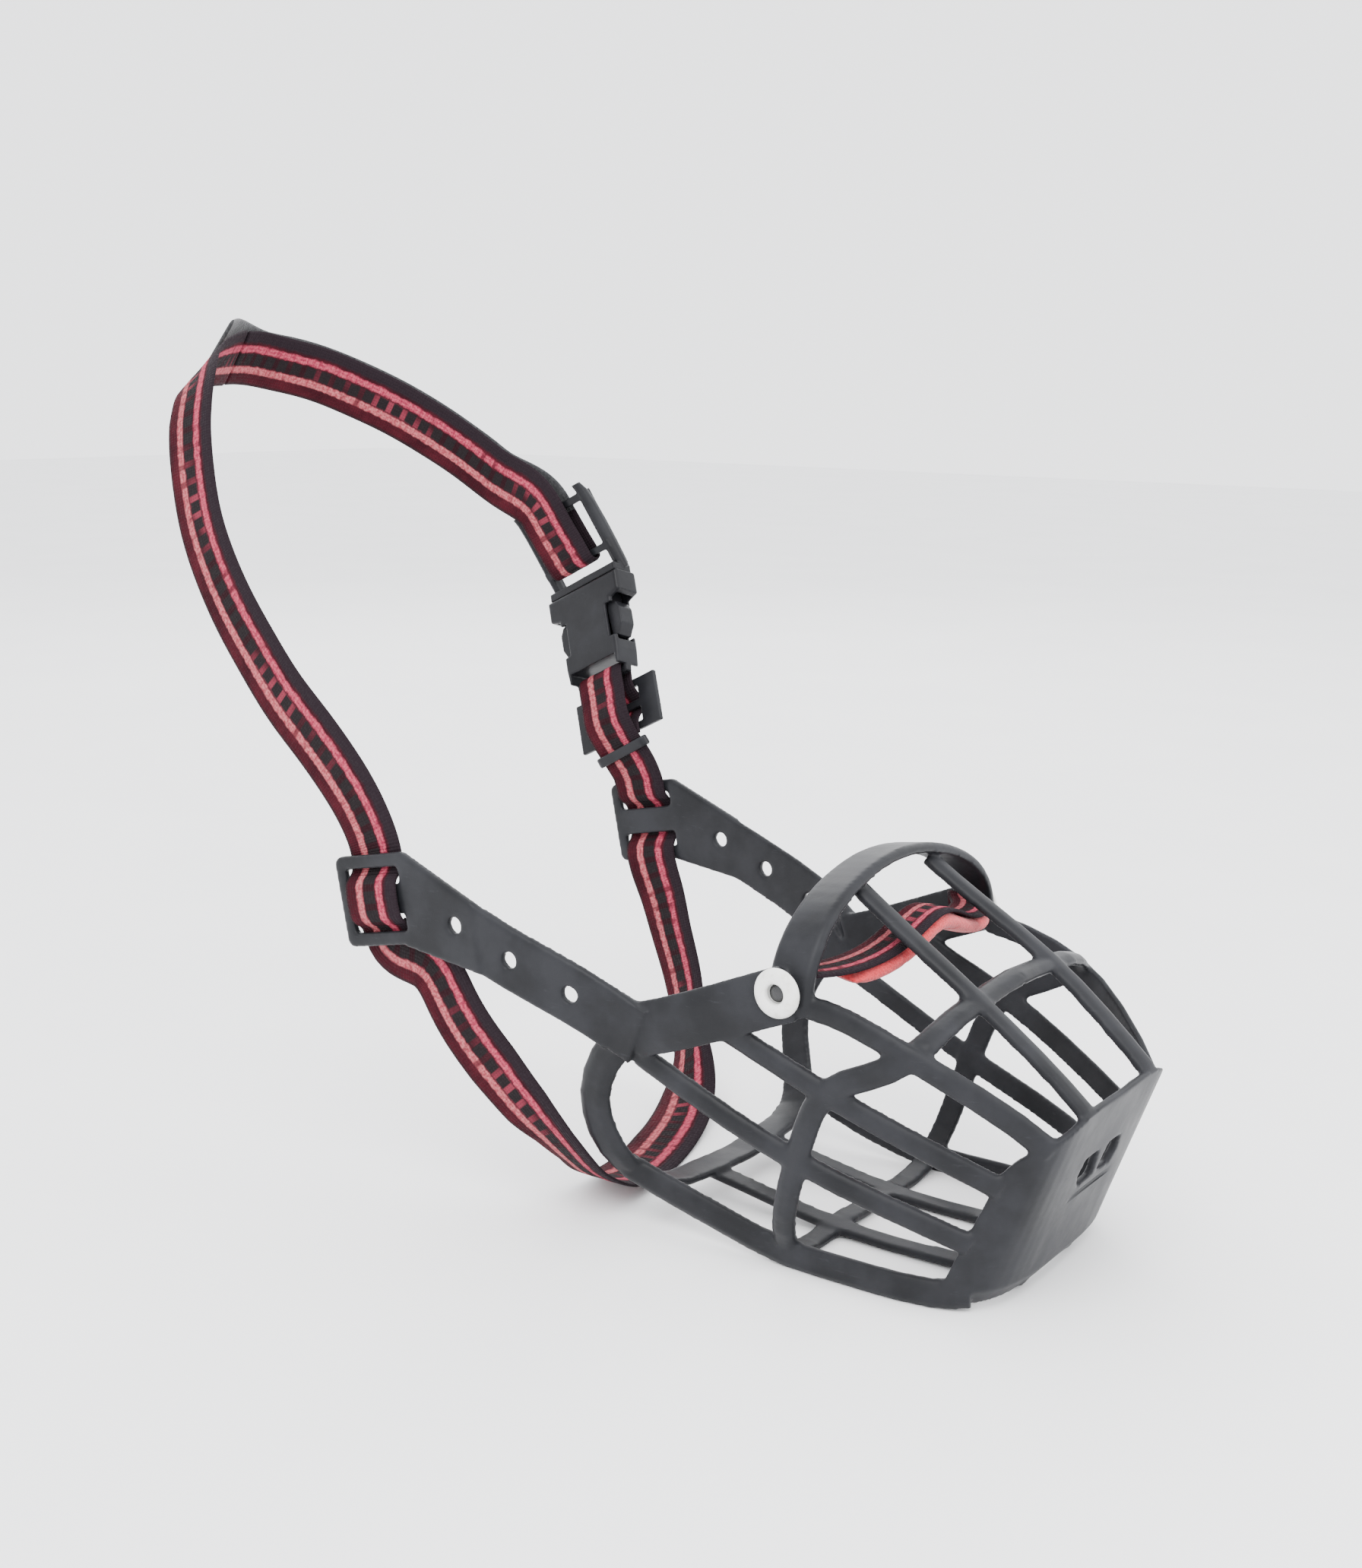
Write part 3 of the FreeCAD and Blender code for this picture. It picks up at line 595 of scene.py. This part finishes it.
def lower_and_neck_straps():
    """The throat strap, and the right leg of the neck loop."""
    route = strap_side(THROAT_RIGHT + THROAT_MIDDLE + THROAT_LEFT)
    throat = ribbon("throat_webbing", in_slot(-1, -1) + route + in_slot(1, -1)[::-1])
    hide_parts("throat_strap")
    dressed(throat, WEBBING)
    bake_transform(throat)
    neck = ribbon("neck_webbing_right", in_slot(-1, 1) + strap_side(NECK_RIGHT))
    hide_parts("neck_strap_right")
    dressed(neck, WEBBING)
    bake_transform(neck)


def skew(w):
    """How far across the ladder the webbing's middle lies, as it leaves at a slant."""
    return -LADDER_SHIFT - LADDER_SLANT * (w - LADDER_BAR)


def upper_left_straps():
    """The neck strap from the apex round the ladder's bar, and its black tail back to the apex."""
    rows = [(-TURN, LADDER_END + 3 * MM), (-TURN, LADDER_END - 4 * MM), (-TURN, LADDER_BAR + 4 * MM)]
    rows += half_turn(0, LADDER_BAR, -1) + [(TURN, LADDER_BAR + 4 * MM), (TURN, LADDER_END - 3.5 * MM)]
    ladder = buckle_rows([ladder_point(skew(w), v, w) for v, w in rows])
    neck = ribbon("neck_webbing_left", strap_side(NECK_LEFT) + ladder)
    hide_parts("neck_strap_left")
    dressed(neck, WEBBING)
    first = buckle_rows([ladder_point(skew(w), TURN, w) for w in (LADDER_END - 3.5 * MM, LADDER_END + 3 * MM)])
    curve, along, side, _ = sampled(strap_side(TAIL_END + NECK_LEFT[1:]), 9 * MM)
    out = -np.cross(along, side) * TAIL_LIFT
    back = [(tuple(c + o), tuple(s)) for c, o, s in zip(curve, out, side)]
    tail = ribbon("tail_webbing", first + back[::-1], stripes=())
    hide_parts("strap_tail")
    dressed(tail, TAIL)
    for piece in (neck, tail):
        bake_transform(piece)


def buckle_webbing():
    """The webbing from the left arm over the socket's bar and through the slider, to its loose end."""
    first = SLIDER_BAR
    second = SLIDER_BAR - SLIDER_PITCH
    slope = 0.6 * MM
    weave = [(TURN, first + 3 * MM), (TURN + slope, first + 1.65 * MM), (SLIDER_OVER - slope, first - 1.65 * MM),
             (SLIDER_OVER, first - SLIDER_PITCH / 2), (SLIDER_OVER - slope, second + 1.7 * MM),
             (TURN + slope, second - 1.7 * MM), (TURN, second - 3 * MM), (TURN, second - 7 * MM)]
    rows = [(-TURN, -13 * MM), (-TURN, -6 * MM)] + half_turn(0, BAR_HALF, 1) + weave
    route = in_slot(1, 1) + strap_side(BUCKLE_STRAP) + buckle_rows([(0, v, w) for v, w in rows])
    piece = ribbon("buckle_webbing", route)
    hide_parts("buckle_strap")
    dressed(piece, WEBBING)
    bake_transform(piece)


def keeper():
    """A thin black loop round the buckle's webbing, just above the arm."""
    place, across = (Vector(part) for part in strap_side(BUCKLE_STRAP[-1:])[0])
    up = Vector((-4.5, -1.8, 8)).normalized()
    side = (across - up * across.dot(up)).normalized()
    through = up.cross(side)
    points = 36
    half_width, half_depth = 10.9 * MM, 1.5 * MM
    loop = []
    for k in range(points):
        a = 2 * math.pi * k / points
        squared = (abs(math.cos(a)) ** 6 + abs(math.sin(a)) ** 6) ** (-1 / 6)
        offset = side * (math.cos(a) * squared * half_width) + through * (math.sin(a) * squared * half_depth)
        loop.append((tuple(place + offset), tuple(up)))
    piece = ribbon("strap_keeper", loop + loop[:1], width=3.4 * MM, thick=1.1 * MM, step=0.8 * MM, columns=8,
                   stripes=())
    dressed(piece, BUCKLE, "neck_loop")


def nose_strap():
    """The webbing inside the nose hoop, and its padded red lining."""
    strap_y = RIVET.y - 1.5 * MM - WEB_THICK / 2 - 0.2 * MM
    ahead = (1, 0, 0)
    half = [((RIVET.x, strap_y, RIVET.z - 5 * MM), ahead), ((RIVET.x, strap_y, RIVET.z), ahead)]
    half += [((x * MM, y * MM, z * MM), ahead) for x, y, z in NOSE_HALF]
    path = half + [((x, -y, z), side) for (x, y, z), side in reversed(half[:-1])]
    strap = ribbon("nose_webbing", path, width=NOSE_WIDTH)
    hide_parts("nose_strap")
    dressed(strap, WEBBING, "cage")
    pad = padding("nose_lining", path[4:-4])
    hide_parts("nose_pad")
    dressed(pad, PAD, "cage")


def padding(name, path):
    """A soft pad along a strap's underside, full in the middle and quilted across."""
    curve, along, side, length = sampled(path, 0.8 * MM)
    face = np.cross(along, side)
    columns = 28
    half_width, half_depth = 6.3 * MM, 2.3 * MM
    below = 3.0 * MM
    verts = []
    for i in range(len(curve)):
        share = length[i] / length[-1]
        end = max(0.0, 1 - abs(2 * share - 1) ** 10) ** 0.5
        quilt = 1 - 0.22 * math.exp(-(math.sin(math.pi * length[i] / (15 * MM)) / 0.16) ** 2)
        for k in range(columns):
            a = 2 * math.pi * k / columns
            flat = (abs(math.cos(a)) ** 2.6 + abs(math.sin(a)) ** 2.6) ** (-1 / 2.6)
            u = math.cos(a) * flat * half_width * (0.8 + 0.2 * end)
            v = math.sin(a) * flat * half_depth * end * quilt
            verts.append(curve[i] + side[i] * u - face[i] * (v + below))
    faces = [(i * columns + k, i * columns + (k + 1) % columns, (i + 1) * columns + (k + 1) % columns,
              (i + 1) * columns + k) for i in range(len(curve) - 1) for k in range(columns)]
    return mended(new_piece(name, verts, faces), fill=True)


# the studio
def floor():
    make = Nodes("pale_floor")
    place = make.coordinates("Object")
    mottle = make.noise(place, 9, detail=3)
    colour = make.mix(mottle, (0.86, 0.86, 0.87), (0.93, 0.93, 0.93))
    make.finish(colour, 0.85, make.bump(mottle, 0.001, 0.1))
    reach = 4
    corners = [(-reach, -reach, 0), (reach, -reach, 0), (reach, reach, 0), (-reach, reach, 0)]
    piece = new_piece("floor", corners, [(0, 1, 2, 3)])
    piece.data.materials.append(make.material)


def light(name, place, target, size, power):
    lamp = bpy.data.lights.new(name, "AREA")
    lamp.size = size
    lamp.energy = power
    item = bpy.data.objects.new(name, lamp)
    item.location = place
    item.rotation_euler = (Vector(target) - Vector(place)).to_track_quat("-Z", "Y").to_euler()
    bpy.context.scene.collection.objects.link(item)


def studio():
    """Soft overhead light, a broad front light, and a pale surround."""
    target = (-0.05, 0, 0.08)
    light("key", (0.3, -0.7, 1.1), target, 0.9, 17)
    light("fill", (0.9, 0.3, 0.8), target, 0.8, 6)
    light("back", (-0.8, 0.9, 0.9), target, 0.8, 7)
    world = bpy.data.worlds.new("surround")
    world.use_nodes = True
    background = world.node_tree.nodes["Background"]
    background.inputs["Color"].default_value = (0.97, 0.98, 1.0, 1)
    background.inputs["Strength"].default_value = 2.7
    bpy.context.scene.world = world


def camera():
    """The viewing angle, from the front right and a little above, at close range."""
    azimuth, elevation, roll = (math.radians(a) for a in (34.958, 11.705, 0.792))
    back = Vector((math.sin(azimuth) * math.cos(elevation), -math.cos(azimuth) * math.cos(elevation),
                   math.sin(elevation)))
    right = Vector((0, 0, 1)).cross(back).normalized()
    up = back.cross(right)
    right, up = right * math.cos(roll) + up * math.sin(roll), up * math.cos(roll) - right * math.sin(roll)
    lens = bpy.data.cameras.new("camera")
    lens.sensor_fit = "AUTO"
    lens.sensor_width = 36
    lens.lens = 45.55
    lens.clip_start = 0.01
    item = bpy.data.objects.new("camera", lens)
    turn = Matrix((right, up, back)).transposed().to_4x4()
    item.matrix_world = Matrix.Translation((0.2610, -0.4663, 0.2352)) @ turn
    bpy.context.scene.collection.objects.link(item)
    bpy.context.scene.camera = item


camera()
floor()
studio()
cage()
rivets()
buckle()
slot_straps()
lower_and_neck_straps()
upper_left_straps()
buckle_webbing()
keeper()
nose_strap()
